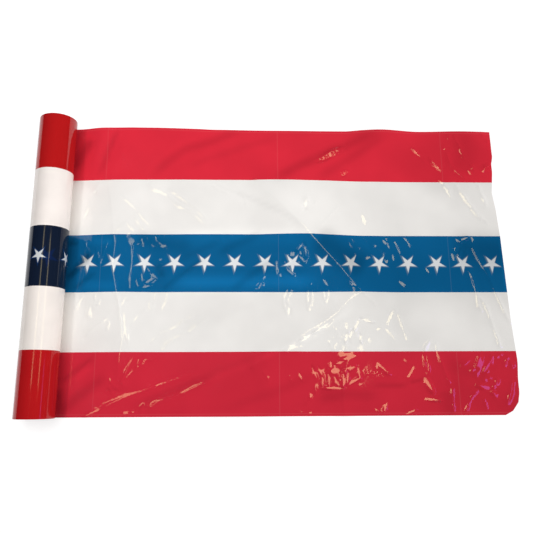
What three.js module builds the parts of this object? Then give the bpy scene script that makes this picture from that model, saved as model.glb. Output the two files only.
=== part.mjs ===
// A roll of printed plastic bunting, lying on its side on a flat surface. The web is one long strip of thin
// polyethylene film. Most of it is wound up, and its loose end is drawn off from under the roll and laid out
// beside it. Millimetres, +Z up, the roll's axis along Y, the surface at z = 0.
import * as THREE from 'three';

// The web and the roll. Everything below is set out from these.
const filmWidth = 914.4;          // a 36 inch web
const rollRadius = 56.8;
const eyeRadius = 16;             // the open eye left by the spindle it was wound on
const rollSides = 64;
const eyeSides = 24;
const flatSpot = 1.2;             // how far the roll's own weight flattens its underside

// The loose end. Positions along it count from below the roll's axis, and across it from the web's middle.
const sheetThickness = 1;
const rollGap = 0.3;              // between the loose end and the roll that sits on it
const sheetStart = -11;           // just short of the flat spot, so that the roll stands wholly on the film
const columns = 50;
const rows = 32;
const liftStart = 40;             // the film stays down this far from the roll's axis,
const liftLength = 90;            // and reaches its full rise this much further on
const freeSpan = 400;             // the last stretch, over which the columns turn to follow the cut

// The hand-cut end, from the far selvage to the near one. The near corner is turned under.
const cutEnd = [
  { across: 457.2, reach: 1407 },
  { across: 366, reach: 1409 },
  { across: 342, reach: 1403 },
  { across: 315, reach: 1404 },
  { across: 243, reach: 1396 },
  { across: 190, reach: 1403 },
  { across: 95, reach: 1409 },
  { across: -170, reach: 1416 },
  { across: -300, reach: 1424 },
  { across: -350, reach: 1420 },
  { across: -391, reach: 1420 },
  { across: -420, reach: 1414 },
  { across: -448, reach: 1393 },
  { across: -457.2, reach: 1372 },
];

// Broad rounded swells, where air is caught under the film. turn is in degrees from the web's length.
const swells = [
  { along: 230, across: 480, halfLength: 420, halfWidth: 330, turn: 0, height: 19 },
  { along: 530, across: 150, halfLength: 600, halfWidth: 380, turn: 8, height: 18 },
  { along: 790, across: 190, halfLength: 230, halfWidth: 190, turn: 35, height: 11 },
  { along: 1020, across: 490, halfLength: 110, halfWidth: 160, turn: 60, height: 21 },
];

// Long soft folds, each from one point to another: ridges have a height above 0, troughs below it.
const folds = [
  { fromAlong: 680, fromAcross: 300, toAlong: 960, toAcross: 480, halfWidth: 60, height: -9 },
  { fromAlong: 300, fromAcross: 290, toAlong: 520, toAcross: 470, halfWidth: 45, height: -5 },
  { fromAlong: 110, fromAcross: 280, toAlong: 190, toAcross: 470, halfWidth: 45, height: -4 },
  { fromAlong: 640, fromAcross: 70, toAlong: 800, toAcross: 110, halfWidth: 60, height: 7 },
  { fromAlong: 330, fromAcross: -420, toAlong: 930, toAcross: -80, halfWidth: 65, height: 9 },
  { fromAlong: 110, fromAcross: -470, toAlong: 460, toAcross: -320, halfWidth: 45, height: 5 },
];

// 1 at the middle, level there, and 0 from t = -1 and t = 1 outwards.
function bell(t) {
  return Math.abs(t) < 1 ? Math.cos((Math.PI / 2) * t) ** 2 : 0;
}

function swellHeight(swell, x, y) {
  const turn = THREE.MathUtils.degToRad(swell.turn);
  const dx = x - swell.along;
  const dy = y - swell.across;
  const along = (dx * Math.cos(turn) + dy * Math.sin(turn)) / swell.halfLength;
  const across = (dy * Math.cos(turn) - dx * Math.sin(turn)) / swell.halfWidth;
  return swell.height * bell(Math.hypot(along, across));
}

function foldHeight(fold, x, y) {
  const from = new THREE.Vector2(fold.fromAlong, fold.fromAcross);
  const run = new THREE.Vector2(fold.toAlong, fold.toAcross).sub(from);
  const offset = new THREE.Vector2(x, y).sub(from);
  const across = run.cross(offset) / run.length();
  const fromMiddle = (2 * run.dot(offset)) / run.lengthSq() - 1;
  return fold.height * bell(across / fold.halfWidth) * Math.sqrt(bell(fromMiddle));
}

// How far the film's underside is off the surface.
function filmRise(x, y) {
  const swelled = swells.reduce((sum, swell) => sum + swellHeight(swell, x, y), 0);
  const folded = folds.reduce((sum, fold) => sum + foldHeight(fold, x, y), swelled);
  const awayFromRoll = THREE.MathUtils.smoothstep(x, liftStart, liftStart + liftLength);
  return Math.max(0, folded) * awayFromRoll;
}

// How far the cut end reaches at a place across the web.
function cutReach(y) {
  const before = cutEnd.findLastIndex((point) => point.across >= y);
  const start = THREE.MathUtils.clamp(before, 0, cutEnd.length - 2);
  const [a, b] = cutEnd.slice(start, start + 2);
  return THREE.MathUtils.mapLinear(y, a.across, b.across, a.reach, b.reach);
}

// A section across the roll's axis: a circle, cut level at the given height.
function roundSection(radius, sides, lowest = -radius) {
  return Array.from({ length: sides }, (_, i) => {
    const angle = (2 * Math.PI * i) / sides;
    return new THREE.Vector2(radius * Math.cos(angle), Math.max(lowest, radius * Math.sin(angle)));
  });
}

// The wound web: its turns as one solid round the open eye, on the flat spot where it rests.
function woundRoll() {
  const lowest = flatSpot - rollRadius;
  const section = new THREE.Shape(roundSection(rollRadius, rollSides, lowest));
  section.holes.push(new THREE.Path(roundSection(eyeRadius, eyeSides)));
  const geometry = new THREE.ExtrudeGeometry(section, { depth: filmWidth, bevelEnabled: false });
  geometry.translate(0, 0, -filmWidth / 2);
  geometry.rotateX(Math.PI / 2);
  const material = new THREE.MeshStandardMaterial({ color: 0xbc1e1e, roughness: 0.2, metalness: 0 });
  const mesh = new THREE.Mesh(geometry, material);
  mesh.name = 'wound_roll';
  mesh.position.z = sheetThickness + rollGap - lowest;
  return mesh;
}

// The loose end: a grid of the web's width from under the roll to the cut, raised over its folds, as an
// upper layer, the same layer a sheet's thickness lower with its faces turned over, and a rim between them.
function looseSheet() {
  const furthest = Math.max(...cutEnd.map((point) => point.reach));
  const layer = new THREE.PlaneGeometry(furthest - sheetStart, filmWidth, columns, rows);
  layer.translate((furthest + sheetStart) / 2, 0, 0);
  const grid = layer.attributes.position;
  const upper = [];
  const lower = [];
  for (let i = 0; i < grid.count; i++) {
    const y = grid.getY(i);
    const towardsCut = THREE.MathUtils.smoothstep(grid.getX(i), furthest - freeSpan, furthest);
    const x = grid.getX(i) + towardsCut * (cutReach(y) - furthest);
    const z = filmRise(x, y);
    upper.push(x, y, z + sheetThickness);
    lower.push(x, y, z);
  }

  // the rim's grid points in order, against the clock as seen from above
  const at = (column, row) => row * (columns + 1) + column;
  const rim = [
    ...Array.from({ length: columns }, (_, i) => at(i, rows)),
    ...Array.from({ length: rows }, (_, i) => at(columns, rows - i)),
    ...Array.from({ length: columns }, (_, i) => at(columns - i, 0)),
    ...Array.from({ length: rows }, (_, i) => at(0, i)),
  ];
  const faces = Array.from(layer.index.array);
  const below = (i) => i + grid.count;
  const underside = faces.map(below).reverse();
  const sides = rim.flatMap((a, i) => {
    const b = rim[(i + 1) % rim.length];
    return [a, below(a), below(b), a, below(b), b];
  });

  const geometry = new THREE.BufferGeometry();
  geometry.setAttribute('position', new THREE.Float32BufferAttribute([...upper, ...lower], 3));
  geometry.setIndex([...faces, ...underside, ...sides]);
  geometry.computeVertexNormals();
  const material = new THREE.MeshStandardMaterial({ color: 0xe9e6e1, roughness: 0.2, metalness: 0 });
  const mesh = new THREE.Mesh(geometry, material);
  mesh.name = 'loose_sheet';
  return mesh;
}

// The origin is on the surface, under the middle of the whole length.
const group = new THREE.Group();
group.add(woundRoll(), looseSheet());
const wholeBox = new THREE.Box3().setFromObject(group);
group.position.x = -wholeBox.getCenter(new THREE.Vector3()).x;

export default group;
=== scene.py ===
# A roll of printed plastic bunting film, with its loose end drawn off from under it and laid out beside it.
import math
import random

import bmesh
import bpy
import numpy as np
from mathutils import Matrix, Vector


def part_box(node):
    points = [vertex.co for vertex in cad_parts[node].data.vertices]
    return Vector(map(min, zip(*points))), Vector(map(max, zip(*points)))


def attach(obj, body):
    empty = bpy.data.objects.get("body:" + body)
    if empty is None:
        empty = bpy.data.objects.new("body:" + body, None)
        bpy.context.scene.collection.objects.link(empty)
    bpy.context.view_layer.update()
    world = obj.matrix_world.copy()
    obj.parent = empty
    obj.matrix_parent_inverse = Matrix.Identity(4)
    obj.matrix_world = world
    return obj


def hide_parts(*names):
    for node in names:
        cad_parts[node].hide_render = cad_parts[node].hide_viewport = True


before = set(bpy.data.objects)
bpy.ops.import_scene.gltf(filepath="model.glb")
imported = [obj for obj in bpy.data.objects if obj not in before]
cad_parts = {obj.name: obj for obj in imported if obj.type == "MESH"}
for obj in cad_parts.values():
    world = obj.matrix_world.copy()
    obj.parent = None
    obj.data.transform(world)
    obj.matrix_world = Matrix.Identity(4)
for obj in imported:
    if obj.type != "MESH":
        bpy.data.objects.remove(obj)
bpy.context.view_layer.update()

# where the solids stand
rollLow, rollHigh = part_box("wound_roll")
sheetLow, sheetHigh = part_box("loose_sheet")
mm = 0.001
rollRadius = (rollHigh.x - rollLow.x) / 2 / mm
axisX = (rollHigh.x + rollLow.x) / 2 / mm
axisZ = rollHigh.z / mm - rollRadius

# The web. Lengths here and below are in mm. Places on the film are (along, across): along from the line where
# it leaves the roll, across from the web's middle, + away from the near selvage.
web = {
    "width": (sheetHigh.y - sheetLow.y) / mm,
    "thickness": 0.4,       # four times the real film, so that its cut edge holds up as a mesh
    "layHeight": 0.5,       # the film's middle above the surface, where it lies flat
    "nextTurn": 1.0,        # and one turn up, where the roll sits on it
    "woundLength": 350,     # the roll's outermost turn is part of the same film,
    "tuck": 0.45,           # and goes in under itself by this much on its way round
    "cell": 12.5,           # mesh spacing before it is refined
    "nearCrease": (17, 8),  # how near to a crease it is halved, and halved again,
    "nearCrest": 4,         # and how near to a ridge's crest or a tick it is halved a third time
    "nearFacet": (1.3, 1.2),        # as near as this to any facet twice, and to a slim one a third time
    "slimFacet": 7,         # a slim one has a half width or length under this
    "liftStart": 40,        # the film stays down this far from the roll's axis
    "liftLength": 90,
    "freeSpan": 400,        # the last stretch, over which the mesh turns to follow the cut
}

# the hand-cut end: how far it reaches at places across the web
cutAcross = (-457.2, -448, -420, -391, -350, -300, -170, 95, 190, 243, 315, 342, 366, 457.2)
cutReach = (1372, 1393, 1414, 1420, 1420, 1424, 1416, 1409, 1403, 1396, 1404, 1403, 1409, 1407)

# broad rounded swells, where air is caught under the film
swells = [
    {"at": (230, 480), "half": (420, 330), "turn": 0, "height": 19},
    {"at": (530, 150), "half": (600, 380), "turn": 8, "height": 18},
    {"at": (790, 190), "half": (230, 190), "turn": 35, "height": 11},
    {"at": (1035, 500), "half": (140, 280), "turn": 0, "height": 17},
    {"at": (1310, 510), "half": (150, 230), "turn": 0, "height": 7},
]

# long soft folds, ridges and troughs
folds = [
    {"start": (680, 300), "end": (960, 480), "half": 60, "height": -5},
    {"start": (300, 290), "end": (520, 470), "half": 45, "height": -5},
    {"start": (110, 280), "end": (190, 470), "half": 45, "height": -4},
    {"start": (620, 80), "end": (850, 118), "half": 60, "height": 2.2},
    {"start": (530, -560), "end": (600, -230), "half": 190, "height": 6},
    {"start": (290, -10), "end": (290, 130), "half": 46, "height": 1.4},
]

# Long low ridges, straight-flanked like a tent: the height of each, how far each flank reaches, and its line.
ridges = [
    (9.5, 112, [(150, 280), (172, 190), (182, 95), (188, 62), (184, 5), (187, -32), (198, -80), (205, -112),
        (212, -150), (226, -228), (220, -275), (217, -330), (216, -380)]),
    (12.5, 120, [(620, 280), (706, 196), (792, 106), (850, 40), (888, -2), (930, -55), (948, -78),
        (946, -92), (918, -108), (900, -125), (875, -150), (840, -175), (780, -207), (720, -250),
        (660, -290), (610, -315)]),
    (4, 45, [(935, -262), (905, -300), (888, -345), (890, -400), (890, -620)]),
]

# Creases pressed into the film: the height of each, how far its flanks reach, and its line.
creases = [
    # beside the roll, near half
    (1.8, 10, [(132, -455), (165, -436), (200, -418), (240, -400), (270, -390), (310, -378), (350, -363),
        (390, -350), (430, -336), (450, -331)]),
    (2.2, 11, [(288, -455), (291, -430), (298, -422), (315, -430), (335, -416), (370, -405), (410, -390),
        (450, -371), (500, -350)]),
    (2.2, 11, [(268, -274), (255, -300), (240, -330), (229, -352), (231, -362), (240, -348), (262, -325),
        (285, -313), (300, -292), (318, -290), (335, -276)]),
    (1.8, 9, [(278, -288), (279, -312)]),
    (1.4, 8, [(188, -344), (195, -355), (213, -372), (192, -370), (200, -385), (207, -397)]),
    (2.2, 11, [(308, -244), (325, -225), (345, -213), (370, -203), (395, -188), (405, -175), (425, -170),
        (437, -152)]),
    (2.2, 11, [(345, -262), (365, -240), (395, -222), (430, -207), (445, -190), (482, -164)]),
    (1.3, 9, [(200, -85), (207, -112), (214, -150), (228, -205)]),
    (1.0, 7, [(219, 96), (238, 75), (246, 58), (246, 0), (242, -45), (245, -86)]),
    (1.3, 9, [(275, 74), (258, 62), (245, 52)]),
    (1.3, 9, [(290, -2), (306, -30), (326, -44), (306, -62), (292, -70), (268, -66), (262, -50),
        (278, -36)]),
    (1.2, 7, [(284, -52), (290, -68)]),
    (1.3, 9, [(166, 80), (130, 55), (136, 28), (143, 4), (152, 34), (166, 80)]),
    (1.1, 8, [(104, 25), (122, 41)]),
    (1.1, 8, [(110, 96), (116, 86), (128, 88)]),
    (0.9, 6, [(285, 94), (296, 72), (310, 60), (330, 54), (348, 57), (358, 48)]),
    (0.9, 6, [(316, 94), (319, 77), (335, 66), (354, 64)]),
    (1.1, 8, [(76, -139), (85, -112), (100, -95)]),
    (1.1, 8, [(120, -162), (123, -130)]),
    (1.1, 8, [(143, -128), (150, -110)]),
    (1.0, 7, [(135, -88), (133, -104), (138, -113)]),
    (1.1, 8, [(236, -94), (222, -126), (262, -97)]),
    (1.2, 8, [(305, -94), (303, -130), (308, -140), (318, -110), (320, -88)]),
    (1.1, 8, [(355, -86), (357, -106), (344, -139)]),
    (1.3, 9, [(108, -222), (150, -186), (190, -150)]),
    (1.1, 8, [(182, -172), (176, -206)]),
    (1.3, 9, [(248, -192), (275, -156), (296, -140)]),
    (1.2, 7, [(236, -450), (275, -443)]),
    # beside the roll, far half
    (2.3, 15, [(285, 268), (300, 250), (322, 242), (345, 230), (362, 213), (385, 192), (420, 175),
        (440, 160), (478, 118)]),
    (2.3, 14, [(345, 246), (375, 232), (400, 212), (430, 188), (455, 163), (484, 130)]),
    (1.3, 9, [(195, 233), (225, 205), (250, 180), (270, 155), (290, 132), (310, 112)]),
    (1.3, 9, [(243, 166), (262, 130), (280, 110)]),
    (1.3, 9, [(194, 110), (222, 140), (232, 125), (252, 106)]),
    (1.1, 8, [(95, 216), (97, 185), (107, 158), (93, 162), (80, 140), (74, 160)]),
    (1.1, 8, [(112, 244), (130, 266)]),
    (1.3, 9, [(498, 272), (530, 250), (560, 238), (586, 226), (596, 200), (600, 176)]),
    (1.3, 9, [(482, 262), (510, 244), (540, 234)]),
    # the middle
    (1.2, 9, [(940, -66), (956, -84), (1000, -130)]),
    (1.2, 7, [(910, -55), (916, -60), (930, -82)]),
    (1.2, 7, [(912, -56), (950, -78), (962, -92)]),
    (1.4, 10, [(812, 106), (840, 134), (862, 158), (894, 196)]),
    (1.3, 9, [(776, 72), (760, 50), (740, 38), (726, 30)]),
    (1.3, 9, [(776, 72), (783, 40), (780, 8), (768, 20), (758, 46)]),
    (1.2, 8, [(712, 24), (716, 4), (730, -20), (742, -30), (752, -14)]),
    (1.2, 8, [(688, -4), (690, -30), (704, -34)]),
    (1.2, 8, [(724, -78), (711, -96), (714, -128), (725, -162)]),
    (1.2, 8, [(736, -78), (722, -114), (735, -140)]),
    (1.4, 8, [(786, -76), (785, -106), (788, -142), (799, -110), (800, -76)]),
    (1.3, 8, [(835, -76), (836, -100), (842, -118), (849, -95), (846, -76)]),
    (1.2, 7, [(795, -56), (799, -66)]),
    (1.4, 10, [(500, 98), (520, 84), (526, 62)]),
    (1.4, 10, [(615, -76), (635, -52), (656, -34)]),
    (1.3, 9, [(806, 226), (818, 206), (812, 190)]),
    (1.2, 7, [(872, 98), (882, 84)]),
    (1.2, 7, [(896, 98), (904, 82), (912, 80)]),
    (1.3, 8, [(915, 88), (936, 52), (946, 22)]),
    (1.3, 8, [(930, 92), (950, 62), (975, 38)]),
    (1.2, 8, [(944, 92), (962, 68), (986, 46)]),
    (1.0, 7, [(968, 92), (984, 74)]),
    # near band, middle and right
    (1.4, 9, [(648, -324), (656, -336), (664, -352), (652, -346)]),
    (1.2, 8, [(724, -340), (740, -360)]),
    (1.6, 9, [(815, -317), (826, -334), (828, -360), (838, -373), (850, -376), (870, -376), (885, -372),
        (893, -360), (893, -328), (912, -320), (930, -311), (941, -334), (934, -350), (915, -358),
        (905, -367), (903, -332)]),
    (1.4, 7, [(845, -345), (846, -376)]),
    (1.4, 7, [(857, -350), (870, -375)]),
    (1.2, 8, [(853, -296), (846, -313), (862, -316), (853, -296)]),
    (1.5, 9, [(803, -368), (808, -400), (790, -413), (770, -426)]),
    (1.4, 8, [(732, -453), (738, -440), (762, -446), (792, -452)]),
    (1.2, 8, [(850, -236), (856, -256), (866, -266), (876, -244)]),
    (1.1, 8, [(892, -214), (904, -256), (898, -270)]),
    (1.3, 8, [(1078, -289), (1088, -302), (1106, -308)]),
    (1.7, 8, [(1137, -273), (1140, -315), (1146, -336), (1153, -338), (1150, -300), (1148, -273)]),
    (1.4, 8, [(980, -440), (1000, -448), (1010, -430), (1017, -421), (1015, -446)]),
    (1.4, 8, [(1072, -448), (1095, -438), (1098, -454)]),
    (2.1, 14, [(1178, -238), (1181, -266), (1189, -300), (1201, -336), (1213, -372)]),
    (1.9, 12, [(1218, -372), (1216, -410), (1216, -454)]),
    (2.1, 14, [(1228, -336), (1250, -312), (1270, -298), (1290, -283), (1310, -275)]),
    (2.1, 14, [(1298, -358), (1318, -352), (1340, -345)]),
    (2.1, 14, [(1322, -334), (1336, -308), (1350, -278)]),
    (2.1, 14, [(1250, -452), (1262, -425), (1275, -402), (1298, -381)]),
    (2.1, 14, [(1330, -391), (1345, -370), (1360, -350)]),
    (1.9, 12, [(1334, -388), (1356, -413)]),
    (1.9, 12, [(1309, -410), (1318, -442)]),
    (1.9, 12, [(1356, -289), (1378, -273)]),
    (2.1, 14, [(1380, -318), (1395, -285), (1409, -320)]),
    (2.1, 14, [(1402, -356), (1390, -402), (1376, -432)]),
    # near white band, right
    (1.3, 8, [(1030, -148), (1062, -141), (1035, -188), (1032, -150)]),
    (1.2, 8, [(1066, -148), (1080, -195), (1093, -240)]),
    (1.3, 9, [(1000, -200), (1025, -195), (1045, -215), (1060, -238)]),
    (1.1, 8, [(1128, -262), (1150, -246), (1166, -236)]),
    (2.8, 13, [(1292, -2), (1306, -30), (1313, -62), (1318, -92), (1318, -128), (1330, -149)]),
    (2.8, 13, [(1318, -92), (1336, -116), (1345, -138), (1358, -190), (1369, -226), (1376, -262)]),
    # middle band, right
    (2.8, 13, [(1265, 72), (1262, 46), (1270, 30), (1280, 54), (1294, 44), (1302, 28)]),
    (2.8, 13, [(1300, 62), (1315, 65), (1322, 45), (1332, 22), (1344, -2), (1356, -22), (1368, -55),
        (1380, -95), (1400, -150), (1415, -188)]),
    (1.4, 8, [(1044, 94), (1050, 65), (1056, 54)]),
    (1.5, 8, [(1070, 82), (1082, 55), (1088, 36)]),
    (1.4, 8, [(1098, 94), (1110, 84), (1122, 58)]),
    (1.3, 7, [(1208, 96), (1215, 88), (1222, 96)]),
    # far half, right
    (1.3, 9, [(1122, 424), (1145, 395), (1162, 372), (1198, 337)]),
    (2.8, 13, [(1256, 386), (1262, 360), (1270, 335), (1285, 318), (1305, 302), (1318, 288)]),
    (1.9, 12, [(1248, 408), (1251, 398), (1260, 392), (1274, 395)]),
    (1.9, 12, [(1270, 446), (1266, 428)]),
    (2.8, 13, [(1284, 442), (1295, 418), (1306, 385), (1316, 356)]),
    (2.8, 13, [(1334, 342), (1346, 318)]),
    (2.8, 13, [(1374, 458), (1390, 434), (1402, 418)]),
    (2.8, 13, [(1240, 276), (1255, 250), (1262, 224)]),
    (2.8, 13, [(1278, 272), (1290, 245), (1310, 215), (1335, 185), (1360, 155), (1376, 134)]),
    (2.8, 13, [(1322, 190), (1356, 147)]),
    (2.8, 13, [(1352, 272), (1365, 226), (1376, 192)]),
]

# rows of short tick-like creases: where the row runs, how many ticks, and their direction and length
tickRows = [
    {"start": (834, 358), "end": (906, 398), "count": 8, "tick": (5, -20), "height": 0.55, "half": 3.8},
    {"start": (905, 312), "end": (926, 322), "count": 3, "tick": (4, -16), "height": 0.5, "half": 3.8},
    {"start": (955, -322), "end": (1004, -330), "count": 6, "tick": (10, -22), "height": 0.5, "half": 5},
    {"start": (1204, 348), "end": (1232, 318), "count": 5, "tick": (12, -4), "height": 0.4, "half": 4},
]

# Small flat facets between creases: the middle of each, half its length and width, how far its length is
# turned from along the film, in degrees, and its slopes along and across.
facets = [
    # middle band
    ((276, -40), (5, 14), 20, (0.045, 0)),
    ((298, -50), (20, 6), 25, (0.055, 0)),
    ((312, -36), (20, 5), -35, (0.06, 0)),
    ((290, -68), (18, 5), 8, (0.05, 0)),
    ((236, 82), (24, 14), -40, (0.026, 0)),
    ((274, 70), (13, 5), -60, (0.044, 0)),
    ((98, 68), (5, 14), 0, (-0.042, 0)),
    ((338, 58), (14, 5), 8, (0.075, 0.02)),
    ((331, 17), (6, 6), -40, (0.072, 0)),
    ((640, -66), (14, 5), 55, (0.214, 0.02)),
    ((692, -6), (7, 18), -10, (-0.098, 0.02)),
    ((742, 34), (18, 8), 30, (-0.077, 0.03)),
    ((766, 56), (20, 5), 52, (-0.065, 0.03)),
    ((782, 44), (5, 24), 8, (-0.058, 0.02)),
    ((770, 18), (5, 16), 35, (-0.063, 0.02)),
    ((732, -22), (20, 5), -40, (-0.082, 0.02)),
    ((843, -56), (16, 8), -55, (-0.027, 0.02)),
    ((980, 24), (13, 6), 20, (0.04, 0.02)),
    ((1035, 76), (12, 8), -40, (0.066, 0.04)),
    ((1041, 14), (5, 6), 0, (0.069, 0)),
    ((1061, 26), (5, 12), 10, (0.079, 0)),
    ((1085, -57), (18, 5), -36, (0.09, 0)),
    ((1166, -15), (15, 6), -55, (0.13, 0)),
    ((1252, 26), (9, 18), 8, (0.165, 0.02)),
    ((1271, 82), (14, 5), -35, (0.172, 0.045)),
    ((1293, 88), (16, 6), 18, (0.182, 0.045)),
    ((1318, 86), (6, 12), 10, (0.194, 0.045)),
    # near band
    ((148, -443), (34, 4), 26, (-0.017, -0.09)),
    ((866, -326), (25, 11), 5, (-0.016, -0.06)),
    ((853, -306), (6, 12), 0, (-0.023, -0.06)),
    ((846, -354), (5.5, 24), 0, (-0.026, -0.06)),
    ((868, -356), (5.5, 22), 25, (-0.015, -0.06)),
    ((858, -376), (36, 5.5), 0, (-0.019, -0.1)),
    ((890, -350), (5.5, 30), 0, (-0.005, -0.06)),
    ((822, -330), (22, 5), -65, (-0.038, -0.06)),
    ((827, -358), (5, 20), 0, (-0.036, -0.08)),
    ((910, -321), (27, 7.5), 18, (0.005, -0.06)),
    ((937, -330), (6, 24), 12, (0.018, -0.06)),
    ((920, -357), (27, 6), 26, (0.01, -0.06)),
    ((902, -346), (5.5, 22), -6, (0.001, -0.06)),
    ((880, -301), (18, 4.5), 15, (-0.01, -0.06)),
    ((912, -286), (30, 6), 14, (0.006, -0.06)),
    ((802, -330), (24, 7), -66, (-0.047, -0.05)),
    ((760, -341), (16, 5), -65, (-0.068, -0.05)),
    ((790, -398), (6, 10), 0, (-0.053, -0.08)),
    ((1010, -318), (32, 8), -42, (0.054, -0.06)),
    ((1098, -328), (26, 8), 58, (0.097, -0.06)),
    ((1145, -366), (31, 11), -62, (0.121, -0.07)),
    ((1152, -411), (31, 6), -4, (0.125, -0.08)),
    ((1012, -434), (18, 5), 70, (0.055, -0.09)),
    ((1088, -446), (20, 5), 20, (0.092, -0.1)),
    ((1304, -314), (40, 13), 76, (-0.116, 0.06)),
    ((1288, -325), (14, 7), 20, (-0.122, 0.06)),
    ((1328, -318), (22, 6), 50, (-0.107, 0.06)),
    ((1316, -376), (26, 9), -15, (-0.111, 0.05)),
    ((1346, -399), (16, 7), -50, (-0.1, 0.05)),
    # near white band
    ((742, -252), (40, 9), 34, (-0.078, -0.03)),
    ((785, -224), (40, 7), 34, (-0.058, -0.04)),
    ((828, -196), (36, 5), 34, (-0.037, -0.05)),
    ((728, -144), (8, 18), 0, (-0.083, -0.03)),
    ((902, -226), (6, 16), -10, (0.001, -0.05)),
    ((918, -214), (6, 18), -25, (0.009, -0.05)),
    ((934, -190), (6, 22), -20, (0.017, -0.04)),
    ((968, -174), (24, 5), -14, (0.033, -0.04)),
    ((946, -228), (5, 16), 10, (0.023, -0.05)),
    ((1042, -160), (9, 26), -30, (0.07, -0.02)),
    ((1152, -252), (8, 22), -35, (-0.177, 0.06)),
    ((121, -146), (8, 20), -5, (-0.031, -0.02)),
    ((231, -195), (8, 46), 14, (0.022, -0.02)),
    # far white band
    ((113, 238), (9, 8), 0, (-0.026, 0.1)),
    ((90, 168), (8, 30), -20, (-0.039, 0.07)),
    ((785, 196), (8, 24), -12, (-0.055, 0.07)),
    ((972, 150), (11, 22), 10, (0.036, 0.05)),
    ((1232, 278), (16, 6), -45, (0.152, 0.11)),
    ((1248, 248), (24, 7), -66, (0.159, 0.1)),
    ((1300, 230), (28, 8), -58, (0.184, 0.09)),
    # far band
    ((1158, 380), (28, 4.5), -52, (0.115, 0.16)),
    ((1220, 334), (36, 7), -54, (0.143, 0.17)),
    ((1328, 312), (14, 5), -60, (0.194, 0.17)),
    ((1378, 323), (20, 6), 50, (0.216, 0.17)),
    ((868, 372), (50, 13), 30, (-0.015, 0.17)),
    ((915, 306), (18, 10), 35, (0.003, 0.13)),
]

# Soft streaks of painted shade along folds, in hollows and beside the roll, partly the film's own deeper look
# where it stands off the white surface, and streaks of painted light where the depth is below 0: half the
# width of each, its depth and its line.
paintedShadeStreaks = [
    # painted shade on the outermost turn, on the roll's side away from the sheet
    (48, 0.18, [(-135, -900), (-135, 900)]),
    # far band
    (30, 0.28, [(40, 310), (62, 370), (95, 425)]),
    (17, 0.14, [(122, 285), (148, 375), (182, 462)]),
    (26, 0.13, [(280, 270), (340, 340), (400, 388), (495, 420), (600, 470)]),
    (22, 0.07, [(390, 310), (470, 352), (600, 400), (720, 440)]),
    (30, 0.17, [(660, 262), (760, 330), (860, 378), (960, 420), (1060, 470)]),
    (28, 0.12, [(810, 276), (900, 336), (980, 390), (1070, 450)]),
    (230, 0.1, [(1150, 240), (1330, 480)]),
    (60, 0.08, [(1300, 300), (1345, 470)]),
    # far white band
    (15, 0.06, [(540, 250), (640, 200), (720, 160), (800, 100)]),
    (60, 0.03, [(1260, 270), (1390, 120)]),
    # middle band
    (19, 0.5, [(40, -50), (84, 4), (116, 44)]),
    (22, 0.4, [(52, 60), (60, 84)]),
    (12, 0.25, [(60, -80), (132, -22)]),
    (45, 0.16, [(240, 90), (330, 62), (440, 60)]),
    (24, 0.22, [(318, 8), (342, -40)]),
    (18, 0.12, [(380, 8), (440, 40), (520, 76)]),
    (22, 0.16, [(500, 26), (560, 62), (650, 100)]),
    (14, 0.2, [(330, -86), (400, -28), (470, 20)]),
    (20, 0.18, [(545, -86), (615, -30), (690, 20)]),
    (36, -0.38, [(330, -56), (560, -54), (860, -50)]),
    (24, -0.2, [(84, -62), (210, -66)]),
    (40, -0.13, [(330, 84), (560, 90), (830, 84)]),
    (20, -0.15, [(100, 76), (190, 70)]),
    (75, 0.3, [(800, 80), (850, 62), (900, 30), (980, -20)]),
    (160, 0.14, [(860, -30), (1560, -10)]),
    (90, 0.23, [(1240, 60), (1500, 40)]),
    (7, -0.4, [(1404, 110), (1411, -100)]),
    (110, -0.05, [(460, 185), (920, 190)]),
    # near white band
    (20, 0.02, [(480, -180), (640, -110)]),
    (60, 0.03, [(1040, -110), (1140, -260)]),
    (16, -0.06, [(700, -266), (770, -236), (830, -200), (940, -126)]),
    # near band
    (14, 0.16, [(42, -360), (96, -318), (150, -276)]),
    (27, 0.17, [(44, -450), (90, -408), (150, -360), (190, -335)]),
    (22, -0.1, [(90, -352), (140, -305)]),
    (22, 0.11, [(240, -440), (330, -402), (455, -352), (560, -316), (690, -270)]),
    (24, 0.07, [(520, -440), (700, -380), (820, -330)]),
    (26, 0.12, [(800, -410), (900, -395), (1000, -400)]),
    (90, 0.08, [(1180, -380), (1460, -440)]),
    (40, 0.08, [(1200, -300), (1340, -350)]),
    (9, 0.14, [(960, -366), (1060, -369), (1120, -354), (1156, -336)]),
    (40, 0.1, [(1196, -380), (1205, -470)]),
    (28, 0.34, [(40, -370), (58, -480)]),
    (18, -0.14, [(704, -262), (600, -306), (470, -352)]),
]

# How far the print has been carried along by slack in the film, at places along it.
slackAlong = (-350, 60, 190, 375, 560, 656, 742, 835, 926, 1014, 1197, 1420)
slackCarry = (0, -2.4, -0.8, 0, 1.6, 3.5, 6.4, 7, 4.2, 2.5, 0.6, 0.8)

# patches where the film is crumpled into small facets
crumples = [
    {"at": (885, -335), "half": (85, 55), "height": 0.5},
    {"at": (915, -215), "half": (85, 60), "height": 0.6},
    {"at": (1150, -385), "half": (60, 65), "height": 0.45},
    {"at": (1310, -340), "half": (90, 90), "height": 0.4},
    {"at": (730, 5), "half": (65, 60), "height": 0.5},
    {"at": (1380, -360), "half": (50, 100), "height": 0.5},
    {"at": (1290, 55), "half": (60, 45), "height": 0.7},
    {"at": (1020, 30), "half": (90, 60), "height": 0.5},
]

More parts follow.
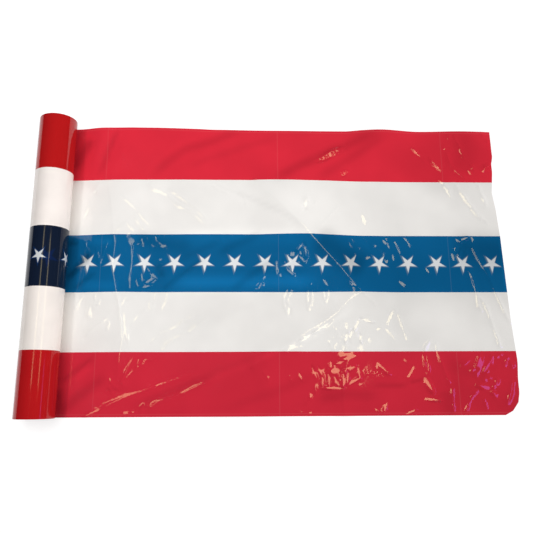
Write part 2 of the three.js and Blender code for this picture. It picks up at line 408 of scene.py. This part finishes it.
# what all wrinkles of a kind share
wrinkles = {
    "crestRound": 2,        # a ridge's crest is this round
    "fade": 8,              # a ridge or a crease rises and dies away over an eighth of its length,
    "shadeFade": 5,         # and a streak of shade over a fifth
    "unevenness": 0.2,      # how much a crease's height varies along it,
    "unevenWaves": 11,      # and how fast
    "tickScatter": 2,       # how far a tick is out of its row,
    "tickLengths": (0.7, 1.2),      # and how long it is, as a share of the row's
    "facetFlat": 0.65,      # a facet is flat this far out, as a share of its half length and width,
    "facetRim": 1.25,       # and has run out here
    "facetLift": 0.6,       # its middle is at least this high, as a share of the drop to its low side
    "crumpleCell": 26,      # how far apart the facets of a crumpled patch are,
    "crumpleTilt": 0.07,    # and how they slope
    "crumpleRidge": 0.8,    # how broad their ridges are, as a share of a cell,
    "crumpleEdge": 5,       # and how near to a ridge a facet starts
    "ripples": 14,          # low random waves, so that nothing lies dead flat
    "rippleLengths": (45, 150),
    "rippleFlatness": 600,  # their length over their height, before they are brought down to
    "rippleShare": 0.35,    # this much of it
    "fineStart": (20, 75),  # small wrinkles set in over this stretch from the roll
}

print("film")


def bell(t):
    # 1 at the middle and level there, 0 from t = 1 outwards
    return np.cos(np.pi / 2 * np.clip(np.abs(t), 0, 1)) ** 2


def smoothStep(value, low, high):
    # 0 at low and 1 at high, level at both
    t = np.clip((value - low) / (high - low), 0, 1)
    return t * t * (3 - 2 * t)


def nearLine(line, places):
    # how far each place is from a line of straight stretches, and where along it the nearest point is, 0 to 1
    line = np.array(line, float)
    starts = line[:-1]
    runs = np.diff(line, axis=0)
    lengths = np.hypot(runs[:, 0], runs[:, 1])
    before = np.cumsum(lengths) - lengths
    offsets = places[:, None] - starts
    shares = np.clip((offsets * runs).sum(2) / lengths ** 2, 0, 1)
    misses = np.linalg.norm(offsets - shares[..., None] * runs, axis=2)
    row = np.arange(len(places))
    nearest = misses.argmin(1)
    travelled = (before + shares * lengths)[row, nearest] / lengths.sum()
    return misses[row, nearest], travelled


def allTicks():
    # the ticks of each row as short creases of their own, a little out of line and of uneven lengths
    rng = random.Random(4)
    scatter = wrinkles["tickScatter"]
    found = []
    for row in tickRows:
        for number in range(row["count"]):
            share = number / (row["count"] - 1)
            ends = zip(row["start"], row["end"])
            foot = [low + share * (high - low) + rng.uniform(-scatter, scatter) for low, high in ends]
            reaches = [reach * rng.uniform(*wrinkles["tickLengths"]) for reach in row["tick"]]
            top = [place + reach for place, reach in zip(foot, reaches)]
            found.append((row["height"], row["half"], [foot, top]))
    return found


ticks = allTicks()


def swellRise(swell, along, across):
    turn = math.radians(swell["turn"])
    ahead = along - swell["at"][0]
    aside = across - swell["at"][1]
    halfLength, halfWidth = swell["half"]
    lengthwise = (ahead * math.cos(turn) + aside * math.sin(turn)) / halfLength
    crosswise = (aside * math.cos(turn) - ahead * math.sin(turn)) / halfWidth
    return swell["height"] * bell(np.hypot(lengthwise, crosswise))


def foldRise(fold, along, across):
    startX, startY = fold["start"]
    runX = fold["end"][0] - startX
    runY = fold["end"][1] - startY
    length = math.hypot(runX, runY)
    aside = (runX * (across - startY) - runY * (along - startX)) / length
    share = (runX * (along - startX) + runY * (across - startY)) / length ** 2
    return fold["height"] * bell(aside / fold["half"]) * np.sqrt(bell(2 * share - 1))


def fadeIn(travelled, fade):
    # 1 along a line, and down to 0 at both its ends
    return np.clip(np.minimum(travelled, 1 - travelled) * fade, 0, 1)


def inBox(line, places, reach):
    # whether each place is within reach of the box round a line
    return np.all((places > line.min(0) - reach) & (places < line.max(0) + reach), axis=1)


def ridgeRise(ridge, places):
    height, half, line = ridge
    miss, travelled = nearLine(line, places)
    rounded = np.hypot(miss, wrinkles["crestRound"])
    flank = np.clip(1 - rounded / half, 0, 1)
    return height * flank * np.sqrt(fadeIn(travelled, wrinkles["fade"]))


def creaseRise(crease, places):
    # a pinched ridge: steepest at its line, and gone at both ends and at half to each side
    height, half, line = crease
    rise = np.zeros(len(places))
    line = np.array(line, float)
    inReach = inBox(line, places, half)
    if not inReach.any():
        return rise
    miss, travelled = nearLine(line, places[inReach])
    flank = np.clip(1 - miss / half, 0, 1) ** 2
    unevenness = wrinkles["unevenness"]
    uneven = 1 - unevenness + unevenness * np.sin(travelled * wrinkles["unevenWaves"] + line[0, 0])
    rise[inReach] = height * flank * np.sqrt(fadeIn(travelled, wrinkles["fade"])) * uneven
    return rise


def fromFacet(facet, places):
    # how far places are from a facet's middle, as a share of the way to its rim
    middle, half, degrees, _ = facet
    turn = math.radians(degrees)
    along, across = (places - middle).T
    lengthwise = (along * math.cos(turn) + across * math.sin(turn)) / half[0]
    crosswise = (across * math.cos(turn) - along * math.sin(turn)) / half[1]
    return np.hypot(lengthwise, crosswise)


def pressFacet(rise, facet, places):
    # the film runs flat at the facet's own slopes there, and back to its own course at the rim
    middle, _, _, tilt = facet
    away = fromFacet(facet, places)
    inReach = away < wrinkles["facetRim"]
    lean = (places[inReach] - middle) @ tilt
    height = max(rise[away.argmin()], -wrinkles["facetLift"] * lean.min())
    share = 1 - smoothStep(away[inReach], wrinkles["facetFlat"], wrinkles["facetRim"])
    rise[inReach] += share * (height + lean - rise[inReach])


def crumpleRise(crumple, places):
    # small flat facets that meet in ridges: a cell round each of some scattered points, with its own tilt
    cellSize = wrinkles["crumpleCell"]
    rise = np.zeros(len(places))
    centre = np.array(crumple["at"])
    half = np.array(crumple["half"])
    away = np.linalg.norm((places - centre) / half, axis=1)
    inReach = away < 1
    if not inReach.any():
        return rise
    rng = np.random.default_rng(crumple["at"][0] + 7)
    counts = np.ceil(2 * half / cellSize).astype(int)
    columns, rows = np.meshgrid(np.arange(counts[0]), np.arange(counts[1]))
    scattered = np.stack([columns.ravel(), rows.ravel()], 1) + rng.uniform(0, 1, (columns.size, 2))
    seeds = centre - half + scattered * cellSize
    tilts = rng.normal(0, wrinkles["crumpleTilt"], seeds.shape)
    offsets = places[inReach][:, None] - seeds
    misses = np.linalg.norm(offsets, axis=2)
    order = np.argsort(misses, axis=1)
    row = np.arange(len(misses))
    first = order[:, 0]
    second = order[:, 1]
    gap = misses[row, second] - misses[row, first]
    ridge = np.clip(1 - gap / (wrinkles["crumpleRidge"] * cellSize), 0, 1) ** 2
    lean = (offsets[row, first] * tilts[first]).sum(1) * np.clip(gap / wrinkles["crumpleEdge"], 0, 1)
    rise[inReach] = crumple["height"] * (ridge + lean) * bell(away[inReach])
    return rise


def rippleRise(places):
    rng = np.random.default_rng(11)
    rise = np.zeros(len(places))
    for wave in range(wrinkles["ripples"]):
        length = rng.uniform(*wrinkles["rippleLengths"])
        heading = rng.uniform(0, np.pi)
        direction = np.array([np.cos(heading), np.sin(heading)])
        phase = rng.uniform(0, 6)
        rise += length / wrinkles["rippleFlatness"] * np.sin(places @ direction * 2 * np.pi / length + phase)
    return rise


def filmRise(places):
    # how far the laid film stands off the surface
    along, across = places.T
    broad = sum(swellRise(swell, along, across) for swell in swells)
    broad = broad + sum(foldRise(fold, along, across) for fold in folds)
    broad = broad + sum(ridgeRise(ridge, places) for ridge in ridges)
    lifted = smoothStep(along, web["liftStart"], web["liftStart"] + web["liftLength"])
    fine = rippleRise(places) * wrinkles["rippleShare"]
    fine = fine + sum(creaseRise(crease, places) for crease in creases)
    fine = fine + sum(crumpleRise(crumple, places) for crumple in crumples)
    rise = np.maximum(np.maximum(broad, 0) * lifted + fine * smoothStep(along, *wrinkles["fineStart"]), 0)
    for facet in facets:
        pressFacet(rise, facet, places)
    return np.maximum(rise + sum(creaseRise(tick, places) for tick in ticks), 0)


def bendFilm(places):
    # from flat places to where the film goes: laid out beyond the tangent line, and before it round the roll
    along, across = places.T
    turned = np.maximum(-along, 0) / rollRadius
    radius = rollRadius - web["thickness"] / 2 - web["tuck"] * turned / (2 * np.pi)
    floorHeight = np.where(turned < np.pi, web["layHeight"], web["nextTurn"])
    x = axisX + np.where(along > 0, along, -radius * np.sin(turned))
    wound = np.maximum(axisZ - radius * np.cos(turned), floorHeight)
    z = np.where(along > 0, web["layHeight"] + filmRise(places), wound)
    return np.stack([x, across, z], 1) * mm


def paintedShadeAt(places):
    # painted shade and painted light: a factor on the colour at each place
    paintedShade = np.ones(len(places))
    for half, depth, line in paintedShadeStreaks:
        miss, travelled = nearLine(line, places)
        ends = fadeIn(travelled, wrinkles["shadeFade"])
        paintedShade *= 1 - depth * bell(miss / half) * smoothStep(ends, 0, 1)
    return paintedShade


def refine(bm, wanted):
    # halves every edge whose middle is in a wanted place
    ends = np.array([[end.co[:2] for end in edge.verts] for edge in bm.edges])
    chosen = wanted(ends.mean(1))
    edges = [edge for edge, take in zip(bm.edges, chosen) if take]
    bmesh.ops.subdivide_edges(bm, edges=edges, cuts=1, use_grid_fill=True)


def nearCreases(reach):
    # a test for places within reach of a crease or a ridge, or in a crumpled patch or a facet
    def wanted(places):
        near = np.zeros(len(places), bool)
        for _, _, line in creases + ticks:
            line = np.array(line, float)
            inReach = inBox(line, places, reach)
            if inReach.any():
                near[inReach] |= nearLine(line, places[inReach])[0] < reach
        for _, _, line in ridges:
            near |= nearLine(line, places)[0] < reach / 2
        for crumple in crumples:
            near |= np.linalg.norm((places - crumple["at"]) / crumple["half"], axis=1) < 1
        for facet in facets:
            near |= fromFacet(facet, places) < web["nearFacet"][0]
        return near
    return wanted


def nearCrests(places):
    # a test for places on the crest of a ridge, at a slim facet or at a tick
    near = np.zeros(len(places), bool)
    for _, _, line in ridges + ticks:
        near |= nearLine(line, places)[0] < web["nearCrest"]
    for facet in facets:
        if min(facet[1]) < web["slimFacet"]:
            near |= fromFacet(facet, places) < web["nearFacet"][1]
    return near


def newPiece(name, bm):
    mesh = bpy.data.meshes.new(name)
    bm.to_mesh(mesh)
    bm.free()
    mesh.shade_smooth()
    piece = bpy.data.objects.new(name, mesh)
    bpy.context.collection.objects.link(piece)
    return piece


def makeFilm():
    furthest = max(cutReach)
    start = -web["woundLength"]
    width = web["width"]
    bm = bmesh.new()
    bmesh.ops.create_grid(bm, x_segments=round((furthest - start) / web["cell"]),
                          y_segments=round(width / web["cell"]), size=0.5)
    bmesh.ops.scale(bm, verts=bm.verts, vec=(furthest - start, width, 1))
    bmesh.ops.translate(bm, verts=bm.verts, vec=((furthest + start) / 2, 0, 0))
    for vert in bm.verts:       # the free end follows the cut
        free = smoothStep(vert.co.x, furthest - web["freeSpan"], furthest)
        vert.co.x += free * (np.interp(vert.co.y, cutAcross, cutReach) - furthest)
    for reach in web["nearCrease"]:
        refine(bm, nearCreases(reach))
    refine(bm, nearCrests)
    flatPlace = bm.loops.layers.uv.new("film")
    for face in bm.faces:
        for loop in face.loops:
            along, across, up = loop.vert.co
            loop[flatPlace].uv = ((along - np.interp(along, slackAlong, slackCarry)) * mm, across * mm)
        face.material_index = int(face.calc_center_median().x < 0)      # the turn round the roll
    for edge in bm.edges:
        edge.smooth = not edge.is_boundary
    places = np.array([vert.co[:2] for vert in bm.verts])
    # painted shade and painted light of the streaks, kept on each point as a factor on the colour
    paintedShadeLayer = bm.verts.layers.float.new("paintedShade")
    for vert, place, paintedShade in zip(bm.verts, bendFilm(places), paintedShadeAt(places)):
        vert.co = place
        vert[paintedShadeLayer] = paintedShade
    film = newPiece("printed_film", bm)
    thicken = film.modifiers.new("thickness", "SOLIDIFY")
    thicken.thickness = web["thickness"] * mm
    thicken.offset = 0
    print("film:", len(film.data.polygons), "faces")
    return film


print("roll")
roll = {
    "underFilm": 1.0,       # the outermost turn is the film's own mesh, round this body
    "eyeRadius": 16,        # left open by the spindle it was wound on
    "flatBottom": 1.3,      # its own weight flattens it
    "layerStep": 1.25,      # the film's edges show on the ends as fine rings, drawn coarser than they are
    "endSlack": 0.4,        # how far the rings lie inside the film's width
    "endWander": 0.9,       # and how unevenly they were wound,
    "wanderKept": 0.8,      # with this much of each turn's shift carried on to the next
    "ringStep": 0.25,       # every other ring stands this much further in
    "sides": 128,
    "lengths": 24,
    "crispFrom": 40,        # edges that turn by more degrees than this are crisp
}


def endProfile(seed):
    # from the eye to the outside: the radius of each ring of film edges, and how far in from the end it lies
    rng = random.Random(seed)
    outer = rollRadius - roll["underFilm"]
    count = round((outer - roll["eyeRadius"]) / roll["layerStep"])
    drift = 0
    profile = []
    for number in range(count + 1):
        drift = roll["wanderKept"] * drift + rng.uniform(-0.5, 0.5)
        depth = roll["endSlack"] + roll["endWander"] * abs(drift) + roll["ringStep"] * (number % 2)
        profile.append((roll["eyeRadius"] + (outer - roll["eyeRadius"]) * number / count, depth))
    return profile


def makeRoll():
    near = endProfile(2)
    far = endProfile(5)
    half = web["width"] / 2
    outer, nearDepth = near[-1]
    farDepth = far[-1][1]
    section = [(radius, depth - half) for radius, depth in near]
    for number in range(1, roll["lengths"]):
        share = number / roll["lengths"]
        section.append((outer, (nearDepth - half) * (1 - share) + (half - farDepth) * share))
    section += [(radius, half - depth) for radius, depth in reversed(far)]
    bm = bmesh.new()
    verts = [bm.verts.new((radius, across, 0)) for radius, across in section]
    edges = [bm.edges.new(pair) for pair in zip(verts, verts[1:] + verts[:1])]
    bmesh.ops.spin(bm, geom=verts + edges, cent=(0, 0, 0), axis=(0, 1, 0), angle=2 * math.pi,
                   steps=roll["sides"], use_merge=True)
    bmesh.ops.translate(bm, verts=bm.verts, vec=(axisX, 0, axisZ))
    for vert in bm.verts:
        vert.co.z = max(vert.co.z, roll["flatBottom"])
    bmesh.ops.scale(bm, verts=bm.verts, vec=(mm, mm, mm))
    bmesh.ops.remove_doubles(bm, verts=bm.verts, dist=1e-6)
    bmesh.ops.recalc_face_normals(bm, faces=bm.faces)
    flatPlace = bm.loops.layers.uv.new("film")
    # the roll's body carries no painted shade
    paintedShadeLayer = bm.verts.layers.float.new("paintedShade")
    for vert in bm.verts:
        vert[paintedShadeLayer] = 1
    for face in bm.faces:
        face.material_index = int(abs(face.normal.y) > 0.5)     # the two ends
        middle = face.calc_center_median()
        heading = math.atan2(middle.x - axisX * mm, middle.z - axisZ * mm)
        for loop in face.loops:
            turned = math.atan2(loop.vert.co.x - axisX * mm, loop.vert.co.z - axisZ * mm)
            turned += 2 * math.pi * round((heading - turned) / (2 * math.pi))
            loop[flatPlace].uv = (turned * rollRadius * mm, loop.vert.co.y)
    for edge in bm.edges:
        edge.smooth = edge.calc_face_angle(0) < math.radians(roll["crispFrom"])
    body = newPiece("film_roll", bm)
    print("roll:", len(body.data.polygons), "faces")
    return body


print("finishes")
filmIor = 1.51
noiseSpan = (0.3, 0.7)      # where nearly all of a noise's values lie
printing = {
    # where the bands of ink change, and what colour each is, from the near selvage to the far one
    "bandEdges": (-268.75, -87.25, 94.25, 275.75),
    "laidBands": ("D82D40", "FAF7F3", "0E6499", "FCF9F5", "E83042"),
    "woundBands": ("B6181C", "F8EFE8", "141E31", "F9F0EA", "B7191B"),
    "seamWidth": 1.6,       # the seam prints as a thin pale line, drawn wider than it is
    "lineColour": "F6F4F0",
    "selvageLine": 7.5,     # and a line runs this far inside each selvage
    "repeat": 545.05,       # once round the print cylinder
    "seam": 147.6,          # a place along the film where two impressions meet
    "firstStar": 41.65,     # from a seam
    "starPitch": 92.36,
    "starsPerRepeat": 6,
    "starAcross": 5.6,
    "starWaist": 0.34,      # how far its inner corners are from its middle, as a share of its tips
}


def linear(hexColour):
    # sRGB hex to linear
    channels = [int(hexColour[i:i + 2], 16) / 255 for i in (0, 2, 4)]
    return [c / 12.92 if c <= 0.04045 else ((c + 0.055) / 1.055) ** 2.4 for c in channels] + [1]


def add(tree, kind, inputs=None, **settings):
    # a node of the kind with its settings, and its sockets set, or linked to a node or to a socket of one
    node = tree.nodes.new("ShaderNode" + kind)
    for name, value in settings.items():
        setattr(node, name, value)
    for socket, value in (inputs or {}).items():
        if isinstance(value, bpy.types.Node):
            value = value.outputs[0]
        if isinstance(value, bpy.types.NodeSocket):
            tree.links.new(value, node.inputs[socket])
        else:
            node.inputs[socket].default_value = value
    return node


def newMaterial(name):
    material = bpy.data.materials.new(name)
    material.use_nodes = True
    material.node_tree.nodes.clear()
    return material, material.node_tree


def starEdge(tree, along, across, tip):
    # how far outside the outline of the nearest star of the pattern a place is, in mm, and below 0 inside it
    point = math.pi / 5
    run = tip * (1 - printing["starWaist"] * math.cos(point))
    rise = tip * printing["starWaist"] * math.sin(point)
    lean = math.atan2(run, rise)
    inset = tip * rise / math.hypot(run, rise)
    fromSeam = add(tree, "Math", {0: along, 1: printing["seam"]}, operation="SUBTRACT")
    inRepeat = add(tree, "Math", {0: fromSeam, 1: printing["repeat"]}, operation="FLOORED_MODULO")
    fromFirst = add(tree, "Math", {0: inRepeat, 1: printing["firstStar"]}, operation="SUBTRACT")
    steps = add(tree, "Math", {0: fromFirst, 1: printing["starPitch"]}, operation="DIVIDE")
    number = add(tree, "Math", {0: steps}, operation="ROUND")
    number = add(tree, "Math", {0: number, 1: 0.0}, operation="MAXIMUM")
    number = add(tree, "Math", {0: number, 1: printing["starsPerRepeat"] - 1.0}, operation="MINIMUM")
    place = add(tree, "Math", {0: number, 1: printing["starPitch"]}, operation="MULTIPLY")
    ahead = add(tree, "Math", {0: fromFirst, 1: place}, operation="SUBTRACT")
    aside = add(tree, "Math", {0: printing["starAcross"], 1: across}, operation="SUBTRACT")
    away = add(tree, "CombineXYZ", {"X": ahead, "Y": aside})
    away = add(tree, "VectorMath", {0: away}, operation="LENGTH").outputs["Value"]
    turn = add(tree, "Math", {0: ahead, 1: aside}, operation="ARCTAN2")
    turn = add(tree, "Math", {0: turn}, operation="ABSOLUTE")
    turn = add(tree, "Math", {0: turn, 1: point}, operation="PINGPONG")
    turn = add(tree, "Math", {0: turn, 1: lean}, operation="SUBTRACT")
    reach = add(tree, "Math", {0: turn}, operation="COSINE")
    reach = add(tree, "Math", {0: reach, 1: away}, operation="MULTIPLY")
    return add(tree, "Math", {0: reach, 1: inset}, operation="SUBTRACT")


def starColours(tree, colour, along, across, starLook):
    # the stars in one ink, or on the laid film in painted shadow and painted light, at its shift from their
    # place
    along = add(tree, "Math", {0: along, 1: starLook["shift"][0]}, operation="SUBTRACT")
    across = add(tree, "Math", {0: across, 1: starLook["shift"][1]}, operation="SUBTRACT")
    outside = starEdge(tree, along, across, starLook["tip"])
    mask = add(tree, "MapRange", {"Value": outside, "From Min": starLook["edge"] / 2,
                                  "From Max": -starLook["edge"] / 2, "To Max": starLook["strength"]})
    return add(tree, "Mix", {"Factor": mask, "A": colour, "B": linear(starLook["colour"])}, data_type="RGBA")


def paleLines(tree, colour, along, across, strength):
    # thin pale lines: one across the film at each seam of the print, and one inside each selvage
    fromSeam = add(tree, "Math", {0: along, 1: printing["seam"]}, operation="SUBTRACT")
    fromSeam = add(tree, "Math", {0: fromSeam, 1: printing["repeat"] / 2}, operation="PINGPONG")
    fromMiddle = add(tree, "Math", {0: across}, operation="ABSOLUTE")
    selvage = web["width"] / 2 - printing["selvageLine"]
    fromLine = add(tree, "Math", {0: fromMiddle, 1: selvage}, operation="SUBTRACT")
    fromLine = add(tree, "Math", {0: fromLine}, operation="ABSOLUTE")
    nearest = add(tree, "Math", {0: fromSeam, 1: fromLine}, operation="MINIMUM")
    mask = add(tree, "MapRange", {"Value": nearest, "From Max": printing["seamWidth"], "To Min": strength,
                                  "To Max": 0.0})
    pale = linear(printing["lineColour"])
    return add(tree, "Mix", {"Factor": mask, "A": colour, "B": pale}, data_type="RGBA").outputs[2]


# Polyethylene film, blown, with translucent ink printed on it: limp and glossy. The ink lies in flat bands
# with crisp edges, and the film's waviness shows in what it mirrors.
def printedFilm(name, look):
    material, tree = newMaterial(name)
    flatPlace = add(tree, "UVMap", uv_map="film")
    inMillimetres = add(tree, "VectorMath", {0: flatPlace, "Scale": 1000.0}, operation="SCALE")
    split = add(tree, "SeparateXYZ", {0: inMillimetres})
    along, across = split.outputs["X"], split.outputs["Y"]
    half = web["width"] / 2
    share = add(tree, "MapRange", {"Value": across, "From Min": -half, "From Max": half})
    bands = add(tree, "ValToRGB", {0: share})
    ramp = bands.color_ramp
    ramp.interpolation = "CONSTANT"
    edges = (-half,) + printing["bandEdges"]
    while len(ramp.elements) < len(edges):
        ramp.elements.new(1)
    for element, edge, colour in zip(ramp.elements, edges, look["bands"]):
        element.position = (edge + half) / (2 * half)
        element.color = linear(colour)
    colour = bands
    for starLook in look["stars"]:
        colour = starColours(tree, colour, along, across, starLook).outputs[2]
    # clouding, where the film is a little milkier or lies closer to what is under it
    cloud = add(tree, "TexNoise", {"Vector": flatPlace, "Scale": 1000 / look["cloudSize"], "Detail": 2.0})
    cloud = add(tree, "MapRange", {"Value": cloud, "From Min": noiseSpan[0], "From Max": noiseSpan[1],
                                   "To Min": 1 - look["clouding"], "To Max": 1 + look["clouding"]})
    colour = add(tree, "VectorMath", {0: colour, "Scale": cloud}, operation="SCALE")
    # painted shade and painted light of the streaks, taken from the mesh
    paintedShade = add(tree, "Attribute", attribute_name="paintedShade").outputs["Fac"]
    colour = add(tree, "VectorMath", {0: colour, "Scale": paintedShade}, operation="SCALE")
    colour = paleLines(tree, colour, along, across, look["lineStrength"])
    crinkle = add(tree, "TexNoise", {"Vector": flatPlace, "Scale": 1000 / look["crinkleSize"], "Detail": 3.0})
    bump = add(tree, "Bump", {"Height": crinkle, "Distance": look["crinkleHeight"] * mm})
    surface = add(tree, "BsdfPrincipled", {"Base Color": colour, "Roughness": look["roughness"],
                                           "IOR": filmIor, "Specular IOR Level": look["specular"],
                                           "Normal": bump})
    add(tree, "OutputMaterial", {"Surface": surface})
    return material


laidLook = {
    "bands": printing["laidBands"],
    "stars": (      # left bare by the blue: a grey-blue painted shadow of the ink on the surface under it, and a white painted lit patch of that surface, shifted
        {"tip": 33, "shift": (-2.2, -0.6), "edge": 4.0, "strength": 0.8, "colour": "7F93A6"},
        {"tip": 29, "shift": (0.8, 0.6), "edge": 2.5, "strength": 1.0, "colour": "F1F4F6"},
    ),
    "cloudSize": 140,
    "clouding": 0.04,
    "crinkleSize": 22,
    "crinkleHeight": 0.06,
    "lineStrength": 0.04,
    "roughness": 0.05,
    "specular": 0.75,       # both its faces mirror
}
woundLook = {
    "bands": printing["woundBands"],
    "stars": (      # one on the turn beneath, the bare place, and white on that
        {"tip": 33, "shift": (-27, -4), "edge": 3.0, "strength": 0.35, "colour": "0A2A66"},
        {"tip": 33, "shift": (0, 0), "edge": 2.5, "strength": 0.9, "colour": "0C3162"},
        {"tip": 23, "shift": (0, 0), "edge": 1.5, "strength": 1.0, "colour": "D4D6D6"},
    ),
    "cloudSize": 90,
    "clouding": 0.04,
    "crinkleSize": 60,
    "crinkleHeight": 0.03,
    "lineStrength": 0.0,
    "roughness": 0.09,
    "specular": 0.45,
}
edgeLook = {
    "colours": ("8E1A1E", "C23A3C"),
    "span": (0.35, 0.65),   # where in the noise each colour is reached
    "ringSize": 2.2,        # a turn is 0.1 mm, too fine to show
    "ringHeight": 0.25,
    "roughness": 0.38,
}


# The film's own cut edges, hundreds of turns side by side: a satin face with fine rings, as deep as the ink
# at the selvage.
def filmEdges(name):
    material, tree = newMaterial(name)
    place = add(tree, "TexCoord").outputs["Object"]
    centred = add(tree, "Mapping", {"Vector": place, "Location": (-axisX * mm, 0, -axisZ * mm)})
    flat = add(tree, "VectorMath", {0: centred, 1: (1, 0, 1)}, operation="MULTIPLY")
    radius = add(tree, "VectorMath", {0: flat}, operation="LENGTH").outputs["Value"]
    rings = add(tree, "TexNoise", {"W": radius, "Scale": 1000 / edgeLook["ringSize"], "Detail": 4.0},
                noise_dimensions="1D")
    colour = add(tree, "ValToRGB", {0: rings})
    elements = colour.color_ramp.elements
    for element, position, hexColour in zip(elements, edgeLook["span"], edgeLook["colours"]):
        element.position = position
        element.color = linear(hexColour)
    bump = add(tree, "Bump", {"Height": rings, "Distance": edgeLook["ringHeight"] * mm})
    surface = add(tree, "BsdfPrincipled", {"Base Color": colour, "Roughness": edgeLook["roughness"],
                                           "IOR": filmIor, "Normal": bump})
    add(tree, "OutputMaterial", {"Surface": surface})
    return material


film = makeFilm()
body = makeRoll()
woundFilm = printedFilm("polyethylene film, wound", woundLook)
for material in (printedFilm("polyethylene film, laid out", laidLook), woundFilm):
    film.data.materials.append(material)
for material in (woundFilm, filmEdges("polyethylene film, edges")):
    body.data.materials.append(material)

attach(film, "root")
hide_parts("loose_sheet")
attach(body, "root")
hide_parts("wound_roll")

print("stage")
# Strip lamps run along the roll's axis, high up: x is from the axis. They show only as streaks in the film,
# and the broad lights only brighten it.
lights = {
    "strips": (
        {"x": -480, "y": (-340, 820), "width": 260, "brightness": 3.3, "colour": "FFECB4"},
        {"x": 1330, "y": (-340, 820), "width": 260, "brightness": 4.0, "colour": "FFECB4"},
        {"x": 3150, "y": (-1300, -100), "width": 420, "brightness": 2.4, "colour": "A384FF"},
    ),
    "height": 2600,
    "broad": (
        {"name": "key_light", "fromAxis": (-620, 0, 2600), "size": (160, 2400), "brightness": 8.1},
        {"name": "front_light", "fromAxis": (600, 250, 1900), "size": (800, 800), "brightness": 2.7},
        {"name": "back_light", "fromAxis": (-250, 400, 2400), "size": (1000, 1600), "brightness": 3.1},
    ),
    "window": {"name": "window_light", "fromAxis": (6500, 0, 1500), "size": (2700, 5600), "brightness": 3.5},
    "room": 0.42,
}
floorLook = {"size": 30, "colour": "BCBCBC", "glow": 0.66}     # 30 m across
cameraPlace = {"fromAxis": (618.4, -387.1, 1698.0), "turn": (12.738, -1.351, -0.264), "lens": 37.55}


def addLamp(name, size, fromAxis, brightness, colour="FFFFFF"):
    lamp = bpy.data.lights.new(name, "AREA")
    lamp.shape = "RECTANGLE"
    lamp.size, lamp.size_y = size[0] * mm, size[1] * mm
    lamp.energy = brightness * math.pi * lamp.size * lamp.size_y      # for this radiance over its face
    lamp.color = linear(colour)[:3]
    lampObject = bpy.data.objects.new(name, lamp)
    x, y, z = fromAxis
    lampObject.location = Vector((axisX + x, y, z)) * mm
    bpy.context.collection.objects.link(lampObject)
    return lampObject


for number, strip in enumerate(lights["strips"]):
    low, high = strip["y"]
    size = (strip["width"], high - low)
    middle = (strip["x"], (low + high) / 2, lights["height"])
    lamp = addLamp("strip_lamp_%d" % (number + 1), size, middle, strip["brightness"], strip["colour"])
    lamp.visible_diffuse = False
for broad in lights["broad"]:
    addLamp(**broad).visible_glossy = False
windowLight = addLamp(**lights["window"])
windowLight.rotation_euler = (0, math.radians(90), 0)       # facing the roll from the right
windowLight.visible_glossy = False


def makeWorld():
    world = bpy.data.worlds.new("studio")
    world.use_nodes = True
    tree = world.node_tree
    tree.nodes.clear()
    background = add(tree, "Background", {"Color": linear("FFFFFF"), "Strength": lights["room"]})
    add(tree, "OutputWorld", {"Surface": background})
    world.cycles_visibility.glossy = False
    bpy.context.scene.world = world


def makeFloor():
    bm = bmesh.new()
    bmesh.ops.create_grid(bm, x_segments=1, y_segments=1, size=floorLook["size"] / 2)
    floor = newPiece("floor", bm)
    material, tree = newMaterial("white studio floor")
    matt = add(tree, "BsdfDiffuse", {"Color": linear(floorLook["colour"])})
    glow = add(tree, "Emission", {"Strength": floorLook["glow"]})
    lit = add(tree, "AddShader", {0: matt, 1: glow})
    rays = add(tree, "LightPath").outputs
    seen = add(tree, "Math", {0: rays["Is Camera Ray"], 1: rays["Is Glossy Ray"]}, operation="MAXIMUM")
    seen = add(tree, "Math", {0: seen, 1: rays["Is Transmission Ray"]}, operation="MAXIMUM")
    surface = add(tree, "MixShader", {0: seen, 1: matt, 2: lit})
    add(tree, "OutputMaterial", {"Surface": surface})
    floor.data.materials.append(material)


def placeCamera():
    camera = bpy.data.objects.new("camera", bpy.data.cameras.new("camera"))
    camera.data.lens = cameraPlace["lens"]
    x, y, z = cameraPlace["fromAxis"]
    camera.location = Vector((axisX + x, y, z)) * mm
    camera.rotation_euler = [math.radians(angle) for angle in cameraPlace["turn"]]
    bpy.context.collection.objects.link(camera)
    bpy.context.scene.camera = camera


makeWorld()
makeFloor()
placeCamera()
bpy.context.scene.view_settings.view_transform = "Standard"
